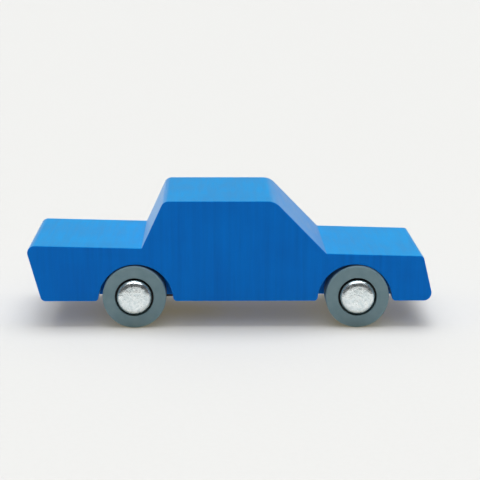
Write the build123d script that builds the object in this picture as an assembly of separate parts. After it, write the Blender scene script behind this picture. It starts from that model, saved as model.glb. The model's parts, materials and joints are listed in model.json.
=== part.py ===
from build123d import *
import math
import os

# A pull-back toy car: a painted block of beech cut to the side view of a saloon car, on four wheels.
# A spring motor sits in a pocket in the underside and drives the rear axle.
# Rolling the car backwards winds its mainspring through a click clutch and a two-step gear train.
# The front axle runs in a nylon block that is let into the underside.
#
# Lengths are in millimetres. +X points to the nose, +Y to the car's left and +Z up.
# The origin is on the floor, under the middle of the car, and the wheels stand on Z = 0.

# ---- Wooden body: side view ----
body_length = 140.0         # tail to nose, over the rounded corners
body_width = 47.5
axle_inset = 1.6            # how far the axles are above the underside
roof_rise = 35.3            # underside to roof
tail_rise = 19.8            # underside to the sharp corner at the back of the boot lid
tail_lean = 5.4             # how far the tail's foot is ahead of its top
deck_length = 40.2          # boot lid, from the tail to the rear window
deck_drop = 1.0             # fall of the boot lid towards the rear window
rear_window_run = 7.6
roof_length = 38.2
windscreen_run = 18.0
cowl_rise = 16.9            # underside to the foot of the windscreen
nose_rise = 16.0            # underside to the front edge of the bonnet
nose_lean = 3.9             # how far the bonnet's front edge is behind the foot of the nose

# Corner radii of the side view
tail_foot_radius = 1.8
tail_top_radius = 2.6
inner_corner_radius = 0.4   # at the foot of the rear window and of the windscreen
roof_rear_radius = 2.8
roof_front_radius = 5.9
nose_top_radius = 1.4
nose_foot_radius = 2.8
side_edge_radius = 0.35     # sanded edge round both sides

# ---- Wheels and axles ----
rear_overhang = 36.7        # tail to rear axle
front_overhang = 25.9       # nose to front axle
tyre_radius = 11.0
tyre_width = 9.6
tyre_shoulder_radius = 0.6
tyre_mouth_radius = 6.7     # round opening in the tyre's outer face, in which the cap sits
tyre_seat_radius = 7.4      # groove inside the tyre that holds the wheel core
tyre_outer_lip = 2.6        # outer face to the groove
tyre_inner_lip = 0.6
wheel_proud = 0.6           # how far the tyre's outer face stands out of the body's side
wheel_gap = 1.0             # tyre's inner face to the back wall of its arch
axle_radius = 1.0
axle_chamfer = 0.25
running_clearance = 0.06    # radial, round a turning axle, shaft or sleeve
core_boss_radius = 3.2
cap_radius = 6.0
cap_dome = 1.7              # height of the dome above the cap's widest line
cap_flat_radius = 0.5       # flat spot in the middle of the dome
cap_shoulder_radius = 4.1   # where the gentle crown turns into the rounded shoulder
cap_shoulder_height = 1.5
cap_proud = 0.2             # cap's widest line, in front of the tyre's outer face
cap_rim = 0.9               # edge of the cap, below the dome
cap_edge_radius = 0.4       # rounding between the dome and the edge
cap_stem_radius = 2.6
axle_end_depth = 1.0        # axle's end, behind the tyre's outer face
arch_gap = 0.2              # least gap between a tyre and its arch
rear_arch_shift = 0.5       # arch centre ahead of the rear axle
front_arch_shift = -0.8     # arch centre behind the front axle
arch_mouth_radius = 1.3     # rounding where an arch meets the underside

# ---- Motor: gear train ----
gear_module = 0.4
pressure_angle = 25.0
addendum = 0.9              # in modules
dedendum = 1.15             # in modules
tooth_thinning = 0.04       # off each tooth at the pitch circle, for backlash
axle_pinion_teeth = 10
ratchet_gear_teeth = 30
clutch_pinion_teeth = 10
drum_gear_teeth = 36

# ---- Motor: housing ----
motor_wall = 1.2
lid_thickness = 1.6
gear_clearance = 0.3        # gear tips to the housing's inside
ear_radius = 1.7            # posts that take the lid's screws
ear_stand = 0.7             # post's middle, outside the housing's outline
lug_length = 6.6
lug_width = 9.0
lug_thickness = 2.0
motor_fit = 0.3             # housing to the sides of its pocket
pocket_corner_radius = 0.8

# ---- Motor: what turns inside, measured across the car from the housing's inner wall ----
click_spring_length = 1.6
click_wire_radius = 0.15
click_coil_radius = 1.15
click_coils = 3
ratchet_gear_width = 1.8
ratchet_lift = 0.6          # travel of the ratchet gear as the clutch clicks over
ratchet_teeth = 8
ratchet_tooth_height = 0.5
ratchet_tooth_base = 1.1
ratchet_inner_radius = 2.4
ratchet_outer_radius = 4.2
ratchet_play = 0.1
clutch_plate_radius = 4.7
clutch_plate_thickness = 1.0
clutch_pinion_length = 2.8
clutch_shaft_radius = 0.75
side_play = 0.2             # axial gap beside what turns
drum_gear_width = 2.0
drum_depth = 5.0
drum_wall = 0.65
drum_hub_radius = 2.0
drum_notches = 6
drum_notch_radius = 0.4
drum_cover_thickness = 0.5
arbor_radius = 1.2
mainspring_thickness = 0.25
mainspring_width = 4.4
mainspring_half_turns = 11
mainspring_wall_gap = 0.08  # mainspring's outer turn to the drum's wall
bearing_boss_wall = 0.9
drum_boss_length = 0.6      # lid's boss beside the drum

# ---- Front axle block and fasteners ----
block_length = 17.0
block_roof_wall = 2.24      # nylon over the axle
block_rib_wall = 1.2        # nylon under the axle
block_fit = 0.15
block_screw_x = 5.3
block_screw_y = 7.0
spacer_wall = 1.1
spacer_play = 0.3
groove_gap = 0.3            # spacer to the sides of its groove
washer_thickness = 0.6
washer_radius = 2.7
screw_radius = 1.1
screw_length = 9.5
screw_tip = 1.6
screw_head_radius = 2.3
screw_head_height = 1.5
screw_hole_gap = 0.2        # screw to the hole in the lug or block
pilot_gap = 0.04
cross_width = 0.65
cross_depth = 0.8
lid_screw_radius = 0.6
lid_screw_length = 5.5
lid_screw_head_radius = 1.1
lid_screw_head_height = 0.8

# ---- Places that follow from the sizes ----
half_width = body_width / 2
axle_height = tyre_radius
ground_gap = axle_height - axle_inset
rear_axle_x = -body_length / 2 + rear_overhang
front_axle_x = body_length / 2 - front_overhang
wheel_face = half_width + wheel_proud
wheel_back = wheel_face - tyre_width
arch_back = wheel_back - wheel_gap
block_height = axle_inset + axle_radius + running_clearance + block_roof_wall
arch_shift = max(abs(rear_arch_shift), abs(front_arch_shift))
arch_radius = tyre_radius + arch_gap + math.hypot(arch_shift, axle_inset)
wood_over_arch = nose_rise - arch_radius


def side_plane(x, y, z):
    """A drawing plane whose own x is +X and own y is +Z, so a sketch on it extrudes towards -Y."""
    return Plane(origin=(x, y, z), x_dir=(1, 0, 0), z_dir=(0, -1, 0))


def slab(sketch, y_low, y_high, x=0.0, z=0.0):
    """A sketch drawn in X and Z about (x, z), made solid from y_low to y_high."""
    return extrude(side_plane(x, y_high, z) * sketch, y_high - y_low)


def rod(radius, y_low, y_high, x, z, bore=0.0):
    """A cylinder along Y, or a tube where it has a bore."""
    sketch = Circle(radius)
    if bore:
        sketch -= Circle(bore)
    return slab(sketch, y_low, y_high, x, z)


def turned(outline, x, z):
    """An outline of (radius, y) points turned about an axis along Y through (x, z)."""
    return Pos(x, 0, z) * revolve(make_face(Polyline(*outline, close=True)), Axis.Y)


def circular_edges(shape, radius, y):
    """The round edges of that radius that lie at that place along Y."""
    found = shape.edges().filter_by(GeomType.CIRCLE)
    return [e for e in found if abs(e.radius - radius) < 1e-3 and abs(e.center().Y - y) < 1e-3]


def save(name, shape):
    """Writes one named piece, or one group of like pieces, to its own STEP file."""
    solids = shape if isinstance(shape, list) else [shape]
    export_step(Compound(children=[s for piece in solids for s in piece.solids()]), f"parts/{name}.step")


# ---------------------------------------------------------------- wooden body


def overreach(side_a, side_b, radius):
    """How far the sharp corner between two sides reaches past the rounded one, along X."""
    half_angle = math.radians(side_a.get_angle(side_b)) / 2
    middle = (side_a.normalized() + side_b.normalized()).normalized()
    return abs(middle.X) * radius / math.sin(half_angle) - radius


def body_outline():
    """The side view of the body, from the tail's foot over the roof to the nose: (x, z) corners and radii."""
    tail_side = Vector(tail_lean, -tail_rise)
    deck_side = Vector(deck_length, -deck_drop)
    nose_side = Vector(-nose_lean, nose_rise)
    floor_side = Vector(-1, 0)
    tail_x = -body_length / 2 - overreach(tail_side, deck_side, tail_top_radius)
    tail_top = (tail_x, ground_gap + tail_rise)
    tail_foot = (tail_top[0] + tail_lean, ground_gap)
    deck_end = (tail_top[0] + deck_length, tail_top[1] - deck_drop)
    roof_rear = (deck_end[0] + rear_window_run, ground_gap + roof_rise)
    roof_front = (roof_rear[0] + roof_length, ground_gap + roof_rise)
    cowl = (roof_front[0] + windscreen_run, ground_gap + cowl_rise)
    nose_foot = (body_length / 2 + overreach(nose_side, floor_side, nose_foot_radius), ground_gap)
    nose_top = (nose_foot[0] - nose_lean, ground_gap + nose_rise)
    return [
        (tail_foot, tail_foot_radius),
        (tail_top, tail_top_radius),
        (deck_end, inner_corner_radius),
        (roof_rear, roof_rear_radius),
        (roof_front, roof_front_radius),
        (cowl, inner_corner_radius),
        (nose_top, nose_top_radius),
        (nose_foot, nose_foot_radius),
    ]


def body_face():
    corners = body_outline()
    return make_face(FilletPolyline(*[c for c, _ in corners], radius=[r for _, r in corners], close=True))


def arched_face():
    """The side view with both wheel arches cut out of it and their mouths rounded."""
    face = body_face()
    arch_places = [rear_axle_x + rear_arch_shift, front_axle_x + front_arch_shift]
    for x in arch_places:
        face -= Pos(x, ground_gap) * Circle(arch_radius)
    mouths = [x + side * arch_radius for x in arch_places for side in (-1, 1)]
    corners = [
        v
        for v in face.vertices()
        if abs(v.Y - ground_gap) < 1e-3 and min(abs(v.X - m) for m in mouths) < 1e-3
    ]
    return fillet(corners, arch_mouth_radius)


def wooden_block():
    """The sawn and sanded block, before anything is cut into its underside."""
    block = slab(body_face(), -arch_back, arch_back)
    for y_low, y_high in ((-half_width, -arch_back), (arch_back, half_width)):
        block += slab(arched_face(), y_low, y_high)
    side_faces = [block.faces().sort_by(Axis.Y)[i] for i in (0, -1)]
    edge_radius = min(side_edge_radius, 0.4 * wood_over_arch)
    return fillet([e for face in side_faces for e in face.edges()], edge_radius)


# ---------------------------------------------------------------- gears


def pitch_radius(teeth):
    return gear_module * teeth / 2


def tip_radius(teeth):
    return pitch_radius(teeth) + addendum * gear_module


def involute(angle):
    return math.tan(angle) - angle


def gear_face(teeth, first_tooth):
    """An involute gear drawn about the origin, with a tooth centred at first_tooth degrees."""
    pitch = pitch_radius(teeth)
    base = pitch * math.cos(math.radians(pressure_angle))
    root = pitch - dedendum * gear_module
    flank_start = max(base, root)
    tip = tip_radius(teeth)
    half_at_pitch = (math.pi * gear_module / 2 - tooth_thinning) / (2 * pitch)
    half_at_base = half_at_pitch + involute(math.radians(pressure_angle))

    def point(radius, angle):
        return (radius * math.cos(angle), radius * math.sin(angle))

    def flank(radius, centre, side):
        half = half_at_base - involute(math.acos(min(1.0, base / radius)))
        return point(radius, centre + side * half)

    step = 2 * math.pi / teeth
    flank_middle = (flank_start + tip) / 2
    edges = []
    for i in range(teeth):
        centre = math.radians(first_tooth) + i * step
        for side, radii in ((-1, (flank_start, flank_middle, tip)), (1, (tip, flank_middle, flank_start))):
            edges.append(ThreePointArc(*[flank(r, centre, side) for r in radii]))
            if side < 0:
                edges.append(ThreePointArc(flank(tip, centre, -1), point(tip, centre), flank(tip, centre, 1)))
        gap_start, gap_end = centre + half_at_base, centre + step - half_at_base
        if root < base:
            edges.append(Line(flank(flank_start, centre, 1), point(root, gap_start)))
            edges.append(Line(point(root, gap_end), flank(flank_start, centre + step, -1)))
            root_ends = (point(root, gap_start), point(root, gap_end))
        else:
            root_ends = (flank(root, centre, 1), flank(root, centre + step, -1))
        edges.append(ThreePointArc(root_ends[0], point(root, centre + step / 2), root_ends[1]))
    return make_face(Wire([e for part in edges for e in part.edges()]))


# The three shafts of the motor, from the rear: axle, clutch shaft and spring arbor.
# Each gear just clears the housing's flat floor, which the axle pinion sets.
inner_floor = axle_height - tip_radius(axle_pinion_teeth) - gear_clearance
axle_to_clutch = pitch_radius(axle_pinion_teeth) + pitch_radius(ratchet_gear_teeth)
clutch_to_drum = pitch_radius(clutch_pinion_teeth) + pitch_radius(drum_gear_teeth)
clutch_z = inner_floor + gear_clearance + tip_radius(ratchet_gear_teeth)
drum_z = inner_floor + gear_clearance + tip_radius(drum_gear_teeth)
clutch_x = rear_axle_x + math.sqrt(axle_to_clutch**2 - (clutch_z - axle_height) ** 2)
drum_x = clutch_x + math.sqrt(clutch_to_drum**2 - (drum_z - clutch_z) ** 2)
axle_to_clutch_angle = math.degrees(math.atan2(clutch_z - axle_height, clutch_x - rear_axle_x))
clutch_to_drum_angle = math.degrees(math.atan2(drum_z - clutch_z, drum_x - clutch_x))

# The motor is centred, and its width is what lies in it, one after another, and its two walls.
pinion_overlap = (clutch_pinion_length - drum_gear_width) / 2
motor_width = (
    motor_wall
    + click_spring_length
    + ratchet_gear_width
    + ratchet_play
    + clutch_plate_thickness
    + pinion_overlap
    + drum_gear_width
    + drum_depth
    + drum_cover_thickness
    + side_play
    + drum_boss_length
    + lid_thickness
)

# Places across the car, from the housing's right-hand outer wall to its lid.
motor_right = -motor_width / 2
lid_outside = motor_width / 2
lid_inside = lid_outside - lid_thickness
wall_inside = motor_right + motor_wall
ratchet_gear_right = wall_inside + click_spring_length
ratchet_gear_left = ratchet_gear_right + ratchet_gear_width
clutch_plate_right = ratchet_gear_left + ratchet_play
clutch_plate_left = clutch_plate_right + clutch_plate_thickness
clutch_pinion_left = clutch_plate_left + clutch_pinion_length
drum_gear_right = clutch_plate_left + pinion_overlap
drum_floor = drum_gear_right + drum_gear_width
drum_mouth = drum_floor + drum_depth
mainspring_right = drum_floor + (drum_depth - mainspring_width) / 2


def gear(teeth, first_tooth, y_low, y_high, x, z, bore):
    return slab(gear_face(teeth, first_tooth) - Circle(bore), y_low, y_high, x, z)


def facing_gap(angle, teeth):
    """First-tooth angle of a gear whose gap faces its partner, which lies at that angle from it."""
    return angle + 180 / teeth


# ---------------------------------------------------------------- click clutch


def ratchet_wedge(base_low, base_high, height, foot, r_low, r_high, y):
    """A saw tooth that points along +Y from the plane at y, and reaches foot below that plane."""
    plane = Plane(origin=(r_low, y, 0), x_dir=(0, 0, -1), z_dir=(1, 0, 0))
    profile = [(base_low, -foot), (base_high, -foot), (base_high, height), (base_low, 0)]
    return extrude(plane * make_face(Polyline(*profile, close=True)), r_high - r_low)


def ratchet_ring(play, foot):
    """All the saw teeth of the clutch about the origin, grown by the play on every side."""
    slope = ratchet_tooth_height / ratchet_tooth_base
    low = -ratchet_tooth_base / 2 - play * math.hypot(1, slope) / slope
    high = ratchet_tooth_base / 2 + play
    wedge = ratchet_wedge(
        low,
        high,
        (high - low) * slope,
        foot,
        ratchet_inner_radius - play,
        ratchet_outer_radius + play,
        ratchet_gear_left,
    )
    return [Rot(0, i * 360 / ratchet_teeth, 0) * wedge for i in range(ratchet_teeth)]


def at_clutch(shape):
    return Pos(clutch_x, 0, clutch_z) * shape


def ratchet_gear():
    """The large gear that the axle pinion turns. It has saw teeth on its face and slides on its shaft."""
    bore = clutch_shaft_radius + running_clearance
    body = gear(
        ratchet_gear_teeth,
        facing_gap(axle_to_clutch_angle + 180, ratchet_gear_teeth),
        ratchet_gear_right,
        ratchet_gear_left,
        clutch_x,
        clutch_z,
        bore,
    )
    for tooth in ratchet_ring(0.0, ratchet_gear_width / 4):
        body += at_clutch(tooth)
    return body


def clutch_pinion():
    """The small gear that winds the drum, with a plate that the ratchet gear's saw teeth catch in."""
    bore = clutch_shaft_radius + running_clearance
    body = rod(clutch_plate_radius, clutch_plate_right, clutch_plate_left, clutch_x, clutch_z, bore)
    for notch in ratchet_ring(ratchet_play, ratchet_play):
        body -= at_clutch(notch)
    return body + gear(
        clutch_pinion_teeth,
        clutch_to_drum_angle,
        clutch_plate_left,
        clutch_pinion_left,
        clutch_x,
        clutch_z,
        bore,
    )


def click_spring():
    """The small coil spring that holds the ratchet gear in the plate."""
    room = click_spring_length - 2 * click_wire_radius - running_clearance
    coil = Helix(pitch=room / click_coils, height=room, radius=click_coil_radius)
    section = Plane(coil @ 0, z_dir=coil % 0) * Circle(click_wire_radius)
    spring = sweep(section, path=coil, is_frenet=True)
    start = wall_inside + click_wire_radius + running_clearance / 2
    return Pos(clutch_x, start, clutch_z) * Rot(-90, 0, 0) * spring


# ---------------------------------------------------------------- spring drum

drum_radius = pitch_radius(drum_gear_teeth) - dedendum * gear_module - side_play / 2
drum_bore = drum_radius - drum_wall
mainspring_start = arbor_radius + mainspring_thickness
mainspring_reach = drum_bore - mainspring_wall_gap - mainspring_thickness / 2
mainspring_pitch = 2 * (mainspring_reach - mainspring_start) / (mainspring_half_turns - 1)


def spring_drum():
    """The drum gear and, on its face, the notched cup that holds the mainspring."""
    arbor_bore = arbor_radius + running_clearance
    body = gear(
        drum_gear_teeth,
        facing_gap(clutch_to_drum_angle + 180, drum_gear_teeth),
        drum_gear_right,
        drum_floor,
        drum_x,
        drum_z,
        arbor_bore,
    )
    body += rod(drum_hub_radius, wall_inside + side_play, drum_gear_right, drum_x, drum_z, arbor_bore)
    cup = Circle(drum_radius) - Circle(drum_bore)
    for i in range(drum_notches):
        angle = 180 + i * 360 / drum_notches
        cup -= PolarLocations(drum_bore, 1, start_angle=angle) * Circle(drum_notch_radius)
    return body + slab(cup, drum_floor, drum_mouth, drum_x, drum_z)


def drum_cover():
    """The thin disc that closes the drum over the mainspring."""
    return rod(
        drum_radius,
        drum_mouth,
        drum_mouth + drum_cover_thickness,
        drum_x,
        drum_z,
        arbor_radius + running_clearance,
    )


def spiral_edge(offset):
    """Half-circle arcs of the mainspring's centre line, moved out by offset, from arbor to drum wall."""
    arcs = []
    for i in range(mainspring_half_turns):
        centre = (i % 2) * mainspring_pitch / 2
        radius = mainspring_start + i * mainspring_pitch / 2 + offset
        way = 1 if i % 2 == 0 else -1
        arcs.append(
            ThreePointArc((centre + way * radius, 0), (centre, way * radius), (centre - way * radius, 0))
        )
    return arcs


def mainspring():
    """The flat spiral spring. Its inner end hooks into the arbor, and its outer end catches in a notch."""
    half = mainspring_thickness / 2
    outer, inner = spiral_edge(half), spiral_edge(-half)
    caps = [Line(inner[i] @ i, outer[i] @ i) for i in (0, -1)]
    strip = make_face(Wire([e for part in outer + inner + caps for e in part.edges()]))
    hook_tip = arbor_radius / 4
    hook_length = mainspring_start + half - hook_tip
    strip += Pos(hook_tip + hook_length / 2, -half) * Rectangle(hook_length, mainspring_thickness)
    catch = mainspring_wall_gap + drum_notch_radius / 2
    catch_middle = -(mainspring_reach + half + (catch - half) / 2)
    strip += Pos(catch_middle, -half) * Rectangle(catch + half, mainspring_thickness)
    return slab(strip, mainspring_right, mainspring_right + mainspring_width, drum_x, drum_z)


def spring_arbor():
    """The fixed shaft in the middle of the drum, slotted for the mainspring's hook."""
    body = rod(arbor_radius, motor_right, lid_outside, drum_x, drum_z)
    slot_floor = arbor_radius / 8
    slot = Pos((slot_floor + 2 * arbor_radius) / 2, -mainspring_thickness / 2) * Rectangle(
        2 * arbor_radius - slot_floor, mainspring_thickness + 2 * running_clearance
    )
    return body - slab(slot, drum_floor, drum_mouth, drum_x, drum_z)


# ---------------------------------------------------------------- motor housing

# (x, z, gear tip radius) of what the housing wraps round, from the rear forwards
motor_shafts = [
    (rear_axle_x, axle_height, tip_radius(axle_pinion_teeth)),
    (clutch_x, clutch_z, tip_radius(ratchet_gear_teeth)),
    (drum_x, drum_z, tip_radius(drum_gear_teeth)),
]
shell_room = gear_clearance + motor_wall
motor_bottom = inner_floor - motor_wall
motor_rear = rear_axle_x - tip_radius(axle_pinion_teeth) - shell_room
motor_front = drum_x + tip_radius(drum_gear_teeth) + shell_room
motor_top = drum_z + tip_radius(drum_gear_teeth) + shell_room
clutch_top = clutch_z + tip_radius(ratchet_gear_teeth) + shell_room


def upper_tangent_angle(a, b):
    """Direction, in degrees, of the normal where the line over the top of two circles touches them."""
    slope = math.atan2(b[1] - a[1], b[0] - a[0])
    return 90 + math.degrees(slope + math.asin((b[2] - a[2]) / math.dist(a[:2], b[:2])))


def wrapped_face(grown):
    """A flat-bottomed outline drawn tight over the motor's three gears, grown by that much."""
    normals = [upper_tangent_angle(a, b) for a, b in zip(motor_shafts, motor_shafts[1:])]
    turns = [270, *normals, -90]

    def touch(shaft, angle):
        reach = shaft[2] + grown
        return (
            shaft[0] + reach * math.cos(math.radians(angle)),
            shaft[1] + reach * math.sin(math.radians(angle)),
        )

    edges = []
    for i, shaft in enumerate(motor_shafts):
        start, end = turns[i], turns[i + 1]
        edges.append(ThreePointArc(*[touch(shaft, a) for a in (start, (start + end) / 2, end)]))
        if i + 1 < len(motor_shafts):
            edges.append(Line(touch(shaft, end), touch(motor_shafts[i + 1], end)))
    edges.append(Line(touch(motor_shafts[-1], -90), touch(motor_shafts[0], 270)))
    return make_face(Wire([e for part in edges for e in part.edges()]))


def ear_places():
    """The three lid screws: two beside the drum and one above the slope behind the clutch."""
    slope = upper_tangent_angle(motor_shafts[0], motor_shafts[1])
    places = []
    for (x, z, tip), angle in ((motor_shafts[2], 45), (motor_shafts[2], -45), (motor_shafts[1], slope)):
        reach = tip + shell_room + ear_stand
        places.append((x + reach * math.cos(math.radians(angle)), z + reach * math.sin(math.radians(angle))))
    return places


def housing_face():
    face = wrapped_face(shell_room)
    for x, z in ear_places():
        face += Pos(x, z) * Circle(ear_radius)
    return face


def lug_places():
    """(near end, middle) along X of the two lugs that hold the motor in the wood."""
    return [
        (motor_rear + motor_wall, motor_rear - lug_length / 2),
        (motor_front - motor_wall, motor_front + lug_length / 2),
    ]


def lug_box(root, middle, grown, top):
    """A flat lug at the underside of the body, from inside the housing out past its screw."""
    end = middle + math.copysign(lug_length / 2 + grown, middle - root)
    length = abs(end - root)
    block = Box(length, lug_width + 2 * grown, top - ground_gap)
    return Pos((end + root) / 2, 0, (ground_gap + top) / 2) * block


def motor_base():
    """The deep half of the housing, with its lugs, lid posts and the right-hand bearings."""
    body = slab(housing_face(), motor_right, lid_inside)
    for root, middle in lug_places():
        body += lug_box(root, middle, 0.0, ground_gap + lug_thickness)
        body -= Pos(middle, 0, ground_gap) * Cylinder(screw_radius + screw_hole_gap, 4 * lug_thickness)
    body -= slab(wrapped_face(gear_clearance), wall_inside, lid_inside)
    for x, z, radius in (
        (rear_axle_x, axle_height, axle_radius + running_clearance),
        (clutch_x, clutch_z, clutch_shaft_radius),
        (drum_x, drum_z, arbor_radius),
    ):
        body -= rod(radius, motor_right, wall_inside, x, z)
    for x, z in ear_places():
        body -= rod(lid_screw_radius, lid_outside - lid_screw_length, lid_inside, x, z)
    return body


def motor_lid():
    """The flat half of the housing, with a bearing boss for each shaft."""
    body = slab(housing_face(), lid_inside, lid_outside)
    axle_bore = axle_radius + running_clearance
    bosses = [
        (rear_axle_x, axle_height, axle_bore, ratchet_gear_left + side_play),
        (clutch_x, clutch_z, clutch_shaft_radius, clutch_pinion_left + side_play),
        (drum_x, drum_z, arbor_radius, drum_mouth + drum_cover_thickness + side_play),
    ]
    for x, z, bore, y_low in bosses:
        body += rod(bore + bearing_boss_wall, y_low, lid_inside, x, z)
        body -= rod(bore, y_low, lid_outside, x, z)
    for x, z in ear_places():
        body -= rod(lid_screw_radius, lid_inside, lid_outside, x, z)
        body -= rod(lid_screw_head_radius, lid_outside - lid_screw_head_height, lid_outside, x, z)
    return body


def lid_screw(x, z):
    head = rod(lid_screw_head_radius, lid_outside - lid_screw_head_height, lid_outside, x, z)
    slot = Rectangle(3 * lid_screw_head_radius, lid_screw_radius / 2)
    head -= slab(slot, lid_outside - lid_screw_head_height / 2, lid_outside, x, z)
    tip = lid_outside - lid_screw_length
    return head + rod(lid_screw_radius, tip, lid_outside - lid_screw_head_height, x, z)


# ---------------------------------------------------------------- wheels and axles


def axle(x):
    """A steel axle from cap to cap."""
    reach = wheel_face - axle_end_depth
    body = rod(axle_radius, -reach, reach, x, axle_height)
    ends = circular_edges(body, axle_radius, reach) + circular_edges(body, axle_radius, -reach)
    return chamfer(ends, axle_chamfer)


def tyre(x):
    """A left-hand tyre: a ring with a groove inside that grips the wheel core."""
    groove_outer = wheel_face - tyre_outer_lip
    groove_inner = wheel_back + tyre_inner_lip
    body = turned(
        [
            (tyre_mouth_radius, wheel_face),
            (tyre_radius, wheel_face),
            (tyre_radius, wheel_back),
            (tyre_mouth_radius, wheel_back),
            (tyre_mouth_radius, groove_inner),
            (tyre_seat_radius, groove_inner),
            (tyre_seat_radius, groove_outer),
            (tyre_mouth_radius, groove_outer),
        ],
        x,
        axle_height,
    )
    shoulders = circular_edges(body, tyre_radius, wheel_face) + circular_edges(body, tyre_radius, wheel_back)
    body = fillet(shoulders, tyre_shoulder_radius)
    return fillet(circular_edges(body, tyre_mouth_radius, wheel_face), tyre_shoulder_radius / 3)


def wheel_core(x):
    """A left-hand wheel core, pressed on the axle, with a boss towards the car."""
    groove_outer = wheel_face - tyre_outer_lip
    groove_inner = wheel_back + tyre_inner_lip
    return turned(
        [
            (axle_radius, groove_outer),
            (tyre_seat_radius, groove_outer),
            (tyre_seat_radius, groove_inner),
            (core_boss_radius, groove_inner),
            (core_boss_radius, wheel_back),
            (axle_radius, wheel_back),
        ],
        x,
        axle_height,
    )


def hub_cap(x):
    """A left-hand domed steel cap, pressed over the axle's end and seated on the core."""
    widest = wheel_face + cap_proud
    under = widest - cap_rim
    seat = wheel_face - tyre_outer_lip
    bore_end = wheel_face - axle_end_depth
    crown_top = widest + cap_dome
    shoulder_start = (cap_shoulder_radius, widest + cap_shoulder_height)
    crown = TangentArc((cap_flat_radius, crown_top), shoulder_start, tangent=(1, 0))
    shoulder = TangentArc(shoulder_start, (cap_radius, widest), tangent=crown % 1)
    rest = Polyline(
        (cap_radius, widest),
        (cap_radius, under + cap_rim / 3),
        (cap_radius - cap_rim / 3, under),
        (cap_stem_radius, under),
        (cap_stem_radius, seat),
        (axle_radius, seat),
        (axle_radius, bore_end),
        (0, bore_end),
        (0, crown_top),
        (cap_flat_radius, crown_top),
    )
    profile = make_face(Wire([*crown.edges(), *shoulder.edges(), *rest.edges()]))
    cap = Pos(x, 0, axle_height) * revolve(profile, Axis.Y)
    return fillet(circular_edges(cap, cap_radius, widest), cap_edge_radius)


def axle_spacer(x):
    """A left-hand sleeve that keeps a driven wheel clear of the motor."""
    bore = axle_radius + running_clearance
    return rod(bore + spacer_wall, lid_outside + spacer_play, wheel_back - spacer_play, x, axle_height, bore)


def axle_washer(x):
    """A left-hand washer between the front block and the wheel."""
    middle = (arch_back + wheel_back) / 2
    return rod(
        washer_radius,
        middle - washer_thickness / 2,
        middle + washer_thickness / 2,
        x,
        axle_height,
        axle_radius + running_clearance,
    )


def both_sides(left):
    """A left-hand piece and its right-hand twin."""
    return {"left": left, "right": mirror(left, about=Plane.XZ)}


# ---------------------------------------------------------------- front block and wood screws


def wood_screw(x, y, seat_z):
    """A cross-head screw driven upwards, its head under seat_z."""
    head = Pos(x, y, seat_z - screw_head_height / 2) * Cylinder(screw_head_radius, screw_head_height)
    low_edge = head.edges().filter_by(GeomType.CIRCLE).sort_by(Axis.Z)[0]
    head = fillet(low_edge, screw_head_height * 0.6)
    for length, width in ((2.4 * screw_radius, cross_width), (cross_width, 2.4 * screw_radius)):
        head -= Pos(x, y, seat_z - screw_head_height) * Box(length, width, 2 * cross_depth)
    straight = screw_length - screw_tip
    shank = Pos(x, y, seat_z + straight / 2) * Cylinder(screw_radius, straight)
    tip = Pos(x, y, seat_z + straight + screw_tip / 2) * Cone(screw_radius, screw_radius / 4, screw_tip)
    return head + shank + tip


def block_screw_places():
    return [(front_axle_x + side * block_screw_x, side * block_screw_y) for side in (-1, 1)]


def front_axle_block():
    """The nylon block that the front axle runs in. A rib under the axle stands just below the wood."""
    bore = axle_radius + running_clearance
    rib_radius = bore + block_rib_wall
    profile = Pos(0, block_height / 2) * Rectangle(block_length, block_height)
    profile += Pos(0, axle_inset) * Circle(rib_radius)
    body = slab(profile, -arch_back, arch_back, front_axle_x, ground_gap)
    body -= rod(bore, -arch_back, arch_back, front_axle_x, axle_height)
    for x, y in block_screw_places():
        body -= Pos(x, y, ground_gap) * Cylinder(screw_radius + screw_hole_gap, 4 * block_height)
    return body


# ---------------------------------------------------------------- cuts in the wood


def from_below(length, width, x, top, corner):
    """A milled pocket, open at the underside, with rounded corners and its roof at top."""
    sketch = Plane((x, 0, ground_gap - 1)) * RectangleRounded(length, width, corner)
    return extrude(sketch, top - ground_gap + 1)


def motor_pocket():
    """A two-step pocket: shallow under the boot lid, and deeper under the cabin."""
    width = motor_width + 2 * motor_fit
    rear, step, front = motor_rear - motor_fit, clutch_x - ear_radius, motor_front + motor_fit
    pocket = from_below(front - rear, width, (front + rear) / 2, clutch_top + motor_fit, pocket_corner_radius)
    pocket += from_below(front - step, width, (front + step) / 2, motor_top + motor_fit, pocket_corner_radius)
    for root, middle in lug_places():
        pocket += lug_box(root, middle, motor_fit, ground_gap + lug_thickness)
    return pocket


def axle_groove():
    """The groove for the rear axle and its spacers, from one arch to the other."""
    half = axle_radius + running_clearance + spacer_wall + groove_gap
    depth = axle_inset + 1
    profile = Circle(half) + Pos(0, -depth / 2) * Rectangle(2 * half, depth)
    return slab(profile, -arch_back, arch_back, rear_axle_x, axle_height)


def block_recess():
    """The recess that holds the front axle block, from one arch to the other."""
    height = block_height + block_fit + 1
    profile = Pos(0, height / 2 - 1) * Rectangle(block_length + 2 * block_fit, height)
    return slab(profile, -arch_back, arch_back, front_axle_x, ground_gap)


def pilot_hole(x, y, seat_z):
    hole_radius = screw_radius + pilot_gap
    depth = screw_length + 1
    return Pos(x, y, seat_z + depth / 2) * Cylinder(hole_radius, depth)


def body_block():
    block = wooden_block() - motor_pocket() - axle_groove() - block_recess()
    for _, middle in lug_places():
        block -= pilot_hole(middle, 0, ground_gap)
    for x, y in block_screw_places():
        block -= pilot_hole(x, y, ground_gap)
    return block


# ---------------------------------------------------------------- build

os.makedirs("parts", exist_ok=True)

save("body_block", body_block())

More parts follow.
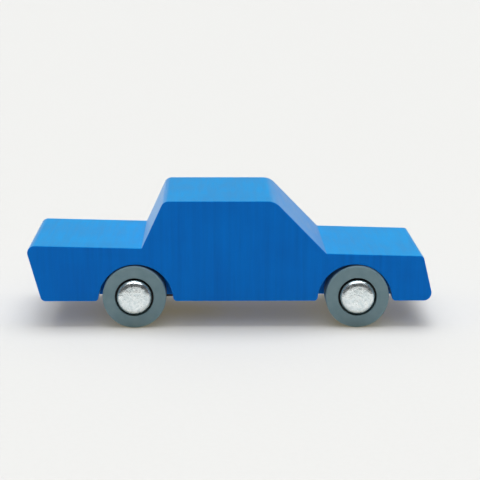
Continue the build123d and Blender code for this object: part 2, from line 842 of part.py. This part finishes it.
save("motor_base", motor_base())
save("motor_lid", motor_lid())
save("motor_lid_screws", [lid_screw(x, z) for x, z in ear_places()])
save("motor_mount_screws", [wood_screw(middle, 0, ground_gap) for _, middle in lug_places()])
save("spring_arbor", spring_arbor())
save("clutch_shaft", rod(clutch_shaft_radius, motor_right, lid_outside, clutch_x, clutch_z))

axle_pinion_span = (ratchet_gear_right - ratchet_lift - side_play, ratchet_gear_left + side_play / 2)
save(
    "axle_pinion",
    gear(axle_pinion_teeth, axle_to_clutch_angle, *axle_pinion_span, rear_axle_x, axle_height, axle_radius),
)
save("ratchet_gear", ratchet_gear())
save("click_spring", click_spring())
save("clutch_pinion", clutch_pinion())
save("spring_drum", spring_drum())
save("drum_cover", drum_cover())
save("mainspring", mainspring())

save("front_axle_block", front_axle_block())
save("front_block_screws", [wood_screw(x, y, ground_gap) for x, y in block_screw_places()])
save("rear_axle_spacers", list(both_sides(axle_spacer(rear_axle_x)).values()))
save("front_axle_washers", list(both_sides(axle_washer(front_axle_x)).values()))

for end, axle_x in (("rear", rear_axle_x), ("front", front_axle_x)):
    save(f"{end}_axle", axle(axle_x))
    for piece, maker in (("tyre", tyre), ("wheel_core", wheel_core), ("hub_cap", hub_cap)):
        for side, shape in both_sides(maker(axle_x)).items():
            save(f"{end}_{side}_{piece}", shape)
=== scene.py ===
import json
import math

import bpy
from mathutils import Matrix

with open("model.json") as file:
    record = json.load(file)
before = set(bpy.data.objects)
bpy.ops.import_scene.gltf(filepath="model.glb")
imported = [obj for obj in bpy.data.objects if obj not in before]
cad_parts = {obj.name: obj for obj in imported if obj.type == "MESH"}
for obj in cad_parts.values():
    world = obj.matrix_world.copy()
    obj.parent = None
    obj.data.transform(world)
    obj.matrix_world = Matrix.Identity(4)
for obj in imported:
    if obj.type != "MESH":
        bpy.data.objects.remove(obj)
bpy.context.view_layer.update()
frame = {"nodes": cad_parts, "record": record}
scene = bpy.context.scene

FINE_MARK = 0.00001         # depth of a drawn or rolled mark, in metres
MOULD_TEXTURE = 0.00002     # depth of a mould's spark-eroded texture
NYLON_GLOW = 0.2            # share of the light that nylon scatters under its skin

# ---------------------------------------------------------------- node trees


class Tree:
    """Short names for building one node tree."""

    def __init__(self, tree):
        self.tree = tree
        tree.nodes.clear()

    def node(self, kind, **settings):
        n = self.tree.nodes.new(kind)
        for key, value in settings.items():
            setattr(n, key, value)
        return n

    def link(self, a, b):
        self.tree.links.new(a, b)
        return b

    def feed(self, socket, value):
        """Sets a socket, or links it if value is another node's output."""
        if isinstance(value, bpy.types.NodeSocket):
            self.link(value, socket)
        else:
            socket.default_value = value

    def object_space(self, scale):
        """Object coordinates stretched by a scale for each axis, in cycles for each metre."""
        coords = self.node("ShaderNodeTexCoord")
        mapping = self.node("ShaderNodeMapping")
        mapping.inputs["Scale"].default_value = scale
        self.link(coords.outputs["Object"], mapping.inputs["Vector"])
        return mapping.outputs["Vector"]

    def noise(self, scale, detail, rough, distortion=0.0):
        """A noise from 0 to 1, mostly between 0.3 and 0.7."""
        n = self.node("ShaderNodeTexNoise")
        n.inputs["Scale"].default_value = 1.0
        n.inputs["Detail"].default_value = detail
        n.inputs["Roughness"].default_value = rough
        n.inputs["Distortion"].default_value = distortion
        self.link(self.object_space(scale), n.inputs["Vector"])
        return n.outputs["Fac"]

    def ranged(self, value, low, high, from_low=0.3, from_high=0.7):
        """Maps from_low to low and from_high to high, and stops there at both ends."""
        n = self.node("ShaderNodeMapRange")
        self.feed(n.inputs["Value"], value)
        n.inputs["From Min"].default_value = from_low
        n.inputs["From Max"].default_value = from_high
        n.inputs["To Min"].default_value = low
        n.inputs["To Max"].default_value = high
        return n.outputs["Result"]

    def mixed(self, fac, a, b):
        """A colour between a, where fac is 0, and b, where it is 1."""
        n = self.node("ShaderNodeMix", data_type="RGBA")
        factor, first, second, result = n.inputs[0], n.inputs[6], n.inputs[7], n.outputs[2]
        self.feed(factor, fac)
        self.feed(first, a)
        self.feed(second, b)
        return result

    def math(self, operation, a, b):
        n = self.node("ShaderNodeMath", operation=operation)
        self.feed(n.inputs[0], a)
        self.feed(n.inputs[1], b)
        return n.outputs[0]

    def bump(self, height, distance, normal=None):
        """A relief whose height is given by a noise and whose full depth is distance, in metres."""
        n = self.node("ShaderNodeBump")
        n.inputs["Strength"].default_value = 1.0
        n.inputs["Distance"].default_value = distance
        self.link(height, n.inputs["Height"])
        if normal is not None:
            self.link(normal, n.inputs["Normal"])
        return n.outputs["Normal"]


def rgb(r, g, b):
    return (r, g, b, 1.0)


def shader(name, **sockets):
    """A new material with one Principled shader, whose fixed values are named after their sockets."""
    mat = bpy.data.materials.new(name)
    mat.use_nodes = True
    t = Tree(mat.node_tree)
    out = t.node("ShaderNodeOutputMaterial")
    bsdf = t.node("ShaderNodeBsdfPrincipled")
    t.link(bsdf.outputs[0], out.inputs["Surface"])
    for key, value in sockets.items():
        bsdf.inputs[key.replace("_", " ")].default_value = value
    return mat, t, bsdf


def painted_wood():
    """Blue paint over planed and sawn timber: faint streaks, a fine tooth and an uneven sheen, with
    painted light: a paler, greener blue on the tops and a painted sheen on the window slopes.
    """
    mat, t, bsdf = shader(
        "blue_paint",
        IOR=1.42,
        Specular_IOR_Level=0.06,
        Sheen_Weight=0.20,
        Sheen_Roughness=0.5,
        Sheen_Tint=rgb(0.55, 1.0, 0.80),
    )
    streaks = t.noise((620, 60, 26), 4, 0.6)
    clouds = t.noise((60, 60, 60), 3, 0.5)
    tooth = t.noise((3200, 3200, 3200), 2, 0.5)
    tone = t.math("ADD", t.ranged(streaks, -0.55, 0.55), t.ranged(clouds, -0.4, 0.4))
    shade = t.ranged(tone, 0.0, 1.0, -0.75, 0.75)
    facing = t.node("ShaderNodeSeparateXYZ")
    t.link(t.node("ShaderNodeTexCoord").outputs["Normal"], facing.inputs[0])
    # Faces turned upwards get a paler, greener blue than the sides: painted light, standing for the
    # overhead light that falls on the tops.
    side_blue = t.mixed(shade, rgb(0.0, 0.174, 0.700), rgb(0.0, 0.220, 0.820))
    top_blue_painted_light = t.mixed(shade, rgb(0.0, 0.255, 0.630), rgb(0.0, 0.325, 0.750))
    paint = t.mixed(t.ranged(facing.outputs["Z"], 0.0, 1.0, 0.35, 0.9), side_blue, top_blue_painted_light)
    # The slopes of the windows get a paler, mottled blue: a painted sheen, standing for the pale room
    # they reflect at a steep angle.
    along = t.math("ABSOLUTE", facing.outputs["X"], 0.0)
    slope = t.ranged(t.math("MULTIPLY", along, facing.outputs["Z"]), 0.0, 0.30, 0.15, 0.40)
    sheen_mottle = t.noise((1500, 700, 1500), 4, 0.65)
    pale = t.math("MULTIPLY", slope, t.ranged(sheen_mottle, 0.55, 1.0))
    windows = t.mixed(pale, paint, rgb(0.30, 0.38, 0.72))
    # The rear window, the steepest of them, gets the most painted sheen.
    upward = t.ranged(facing.outputs["Z"], 0.0, 1.0, 0.2, 0.4)
    behind = t.math("MULTIPLY", t.ranged(facing.outputs["X"], 0.40, 0.0, -0.85, -0.6), upward)
    rear_window_sheen = t.math("MULTIPLY", behind, t.ranged(sheen_mottle, 0.8, 1.3))
    t.link(t.mixed(rear_window_sheen, windows, rgb(0.42, 0.68, 1.0)), bsdf.inputs["Base Color"])
    t.link(t.ranged(t.math("ADD", clouds, streaks), 0.30, 0.44, 0.7, 1.3), bsdf.inputs["Roughness"])
    normal = t.bump(tooth, 0.00002)
    t.link(t.bump(streaks, 0.00006, normal), bsdf.inputs["Normal"])
    return mat


def tyre_rubber():
    """Matt blue-grey rubber with a little dust in its grain."""
    mat, t, bsdf = shader("tyre_rubber", IOR=1.45)
    grain = t.noise((2600, 2600, 2600), 3, 0.6)
    dust = t.noise((260, 260, 260), 4, 0.6)
    colour = t.mixed(t.ranged(dust, 0.0, 1.0), rgb(0.205, 0.325, 0.365), rgb(0.255, 0.375, 0.415))
    t.link(colour, bsdf.inputs["Base Color"])
    t.link(t.ranged(dust, 0.62, 0.78), bsdf.inputs["Roughness"])
    t.link(t.bump(grain, 0.00003), bsdf.inputs["Normal"])
    return mat


def cap_zinc():
    """Pressed steel with bright zinc plating: small soft dents and a fine crystalline mottle."""
    mat, t, bsdf = shader("bright_zinc", Metallic=1.0)
    mottle = t.noise((900, 900, 900), 5, 0.65, 0.6)
    dents = t.noise((330, 330, 330), 2, 0.4)
    spangle = t.ranged(mottle, 0.0, 1.0, 0.38, 0.56)
    t.link(t.mixed(spangle, rgb(0.66, 0.75, 0.77), rgb(0.93, 0.98, 0.98)), bsdf.inputs["Base Color"])
    t.link(t.ranged(mottle, 0.15, 0.30), bsdf.inputs["Roughness"])
    normal = t.bump(dents, 0.00015)
    t.link(t.bump(mottle, 0.00014, normal), bsdf.inputs["Normal"])
    return mat


def metal(name, low, high, rough, grain, depth=FINE_MARK):
    """A drawn, rolled or plated metal, with marks along the axis of the smallest grain number."""
    mat, t, bsdf = shader(name, Metallic=1.0)
    marks = t.noise(grain, 4, 0.6)
    t.link(t.mixed(t.ranged(marks, 0.0, 1.0), low, high), bsdf.inputs["Base Color"])
    t.link(t.ranged(marks, rough - 0.06, rough + 0.08), bsdf.inputs["Roughness"])
    t.link(t.bump(marks, depth), bsdf.inputs["Normal"])
    return mat


def plastic(name, low, high, rough, subsurface=0.0):
    """Moulded plastic with the fine spark-eroded texture of its mould."""
    mat, t, bsdf = shader(name, IOR=1.48, Subsurface_Weight=subsurface, Subsurface_Scale=0.001)
    texture = t.noise((1900, 1900, 1900), 3, 0.5)
    flow = t.noise((140, 90, 140), 3, 0.5)
    t.link(t.mixed(t.ranged(flow, 0.0, 1.0), low, high), bsdf.inputs["Base Color"])
    t.link(t.ranged(texture, rough - 0.05, rough + 0.08), bsdf.inputs["Roughness"])
    t.link(t.bump(texture, MOULD_TEXTURE), bsdf.inputs["Normal"])
    return mat


def floor_paper():
    """Plain pale paper."""
    mat, t, bsdf = shader("pale_paper", IOR=1.3, Roughness=0.9)
    fibre = t.noise((500, 500, 500), 3, 0.6)
    t.link(t.mixed(fibre, rgb(0.50, 0.50, 0.50), rgb(0.52, 0.52, 0.52)), bsdf.inputs["Base Color"])
    return mat


finishes = {
    "painted_wood": painted_wood(),
    "tyre_rubber": tyre_rubber(),
    "cap_zinc": cap_zinc(),
    "wheel_plastic": plastic("wheel_plastic", rgb(0.010, 0.011, 0.013), rgb(0.016, 0.018, 0.02), 0.42),
    "shaft_steel": metal(
        "drawn_steel", rgb(0.52, 0.52, 0.52), rgb(0.66, 0.66, 0.65), 0.3, (2500, 120, 2500)
    ),
    "spring_steel": metal(
        "spring_steel", rgb(0.20, 0.22, 0.28), rgb(0.32, 0.34, 0.40), 0.3, (1500, 300, 1500)
    ),
    "screw_steel": metal(
        "zinc_screw", rgb(0.50, 0.52, 0.52), rgb(0.68, 0.69, 0.68), 0.32, (1500, 1500, 1500), 0.00002
    ),
    "pinion_brass": metal(
        "brass", rgb(0.66, 0.46, 0.17), rgb(0.80, 0.60, 0.26), 0.28, (2000, 200, 2000)
    ),
    "motor_plastic": plastic("motor_plastic", rgb(0.018, 0.018, 0.02), rgb(0.026, 0.026, 0.028), 0.45),
    "gear_nylon": plastic(
        "gear_nylon", rgb(0.72, 0.71, 0.66), rgb(0.80, 0.79, 0.74), 0.4, NYLON_GLOW
    ),
    "block_nylon": plastic(
        "block_nylon", rgb(0.50, 0.50, 0.47), rgb(0.58, 0.58, 0.54), 0.42, NYLON_GLOW
    ),
}

for part in frame["record"]["subparts"]:
    mesh = frame["nodes"][part["node"]].data
    mesh.materials.clear()
    mesh.materials.append(finishes[part["material_slot"]])

# ---------------------------------------------------------------- floor

REACH = 6.0     # from the car to each side of the floor, in metres

floor_mesh = bpy.data.meshes.new("floor")
corners = [(-REACH, -REACH, 0), (REACH, -REACH, 0), (REACH, REACH, 0), (-REACH, REACH, 0)]
floor_mesh.from_pydata(corners, [], [(0, 1, 2, 3)])
floor = bpy.data.objects.new("floor", floor_mesh)
scene.collection.objects.link(floor)
floor_mesh.materials.append(floor_paper())

# ---------------------------------------------------------------- light

# A dim room with a paler wall behind the car. What the camera sees past the floor stays pale.
SEEN_ROOM = rgb(0.88, 0.88, 0.88)
FRONT_LEVEL = 0.11
BACK_LEVEL = 0.34
BACK_FROM = 0.6     # Y of the direction from which the wall is at its palest

room = bpy.data.worlds.new("room")
scene.world = room
room.use_nodes = True
w = Tree(room.node_tree)
seen = w.node("ShaderNodeLightPath").outputs["Is Camera Ray"]
pale = w.node("ShaderNodeBackground")
pale.inputs["Color"].default_value = SEEN_ROOM
way = w.node("ShaderNodeSeparateXYZ")
w.link(w.node("ShaderNodeTexCoord").outputs["Generated"], way.inputs[0])
dim = w.node("ShaderNodeBackground")
w.link(w.ranged(way.outputs["Y"], FRONT_LEVEL, BACK_LEVEL, 0.0, BACK_FROM), dim.inputs["Strength"])
dim.inputs["Color"].default_value = rgb(1.0, 1.0, 1.0)
mix = w.node("ShaderNodeMixShader")
w.link(seen, mix.inputs[0])
w.link(dim.outputs[0], mix.inputs[1])
w.link(pale.outputs[0], mix.inputs[2])
w.link(mix.outputs[0], w.node("ShaderNodeOutputWorld").inputs["Surface"])

floor_only = bpy.data.collections.new("floor_only")
floor_only.objects.link(floor)


def distant_light(name, tilt, roll, angle, energy, color, on_floor=False, shadow=True):
    """A soft light far away. Positive tilt brings it to the camera's side, positive roll to the nose."""
    light = bpy.data.lights.new(name, "SUN")
    light.angle = math.radians(angle)
    light.energy = energy
    light.color = color
    light.use_shadow = shadow
    lamp = bpy.data.objects.new(name, light)
    lamp.rotation_euler = (math.radians(tilt), math.radians(roll), 0)
    if on_floor:
        lamp.light_linking.receiver_collection = floor_only
    scene.collection.objects.link(lamp)


COOL = (0.97, 1.0, 1.04)
WARM = (1.20, 1.02, 0.62)

# A long soft box overhead, a little behind the car, made of three round lights in a row.
distant_light("overhead_middle", tilt=-6, roll=0, angle=46, energy=1.5, color=COOL)
distant_light("overhead_rear", tilt=-6, roll=-14, angle=46, energy=0.85, color=COOL)
distant_light("overhead_front", tilt=-6, roll=14, angle=46, energy=0.85, color=COOL)

# Five lights on the floor alone. They keep the shadow under the car soft and grey.
distant_light(
    "floor_wash", tilt=0, roll=0, angle=10, energy=0.68, color=WARM, on_floor=True, shadow=False
)
distant_light("floor_fill", tilt=45, roll=0, angle=50, energy=0.82, color=COOL, on_floor=True)
distant_light("floor_back", tilt=-50, roll=0, angle=50, energy=0.35, color=COOL, on_floor=True)
distant_light("floor_rear", tilt=0, roll=-60, angle=50, energy=0.28, color=COOL, on_floor=True)
distant_light("floor_front", tilt=0, roll=60, angle=50, energy=0.28, color=COOL, on_floor=True)

# ---------------------------------------------------------------- camera

CAMERA_PLACE = (-0.00749, -0.5323, 0.14316)
CAMERA_YAW = math.radians(-1.21)
CAMERA_DIP = math.radians(12.42)
CAMERA_ROLL = math.radians(0.20)

camera_data = bpy.data.cameras.new("camera")
camera_data.sensor_width = 36.0
camera_data.lens = 113.5
camera_data.clip_start = 0.01
camera = bpy.data.objects.new("camera", camera_data)
yaw = Matrix.Rotation(CAMERA_YAW, 4, "Z")
dip = Matrix.Rotation(math.pi / 2 - CAMERA_DIP, 4, "X")
roll = Matrix.Rotation(CAMERA_ROLL, 4, "Z")
camera.matrix_world = Matrix.Translation(CAMERA_PLACE) @ yaw @ dip @ roll
scene.collection.objects.link(camera)
scene.camera = camera
scene.view_settings.view_transform = "Standard"
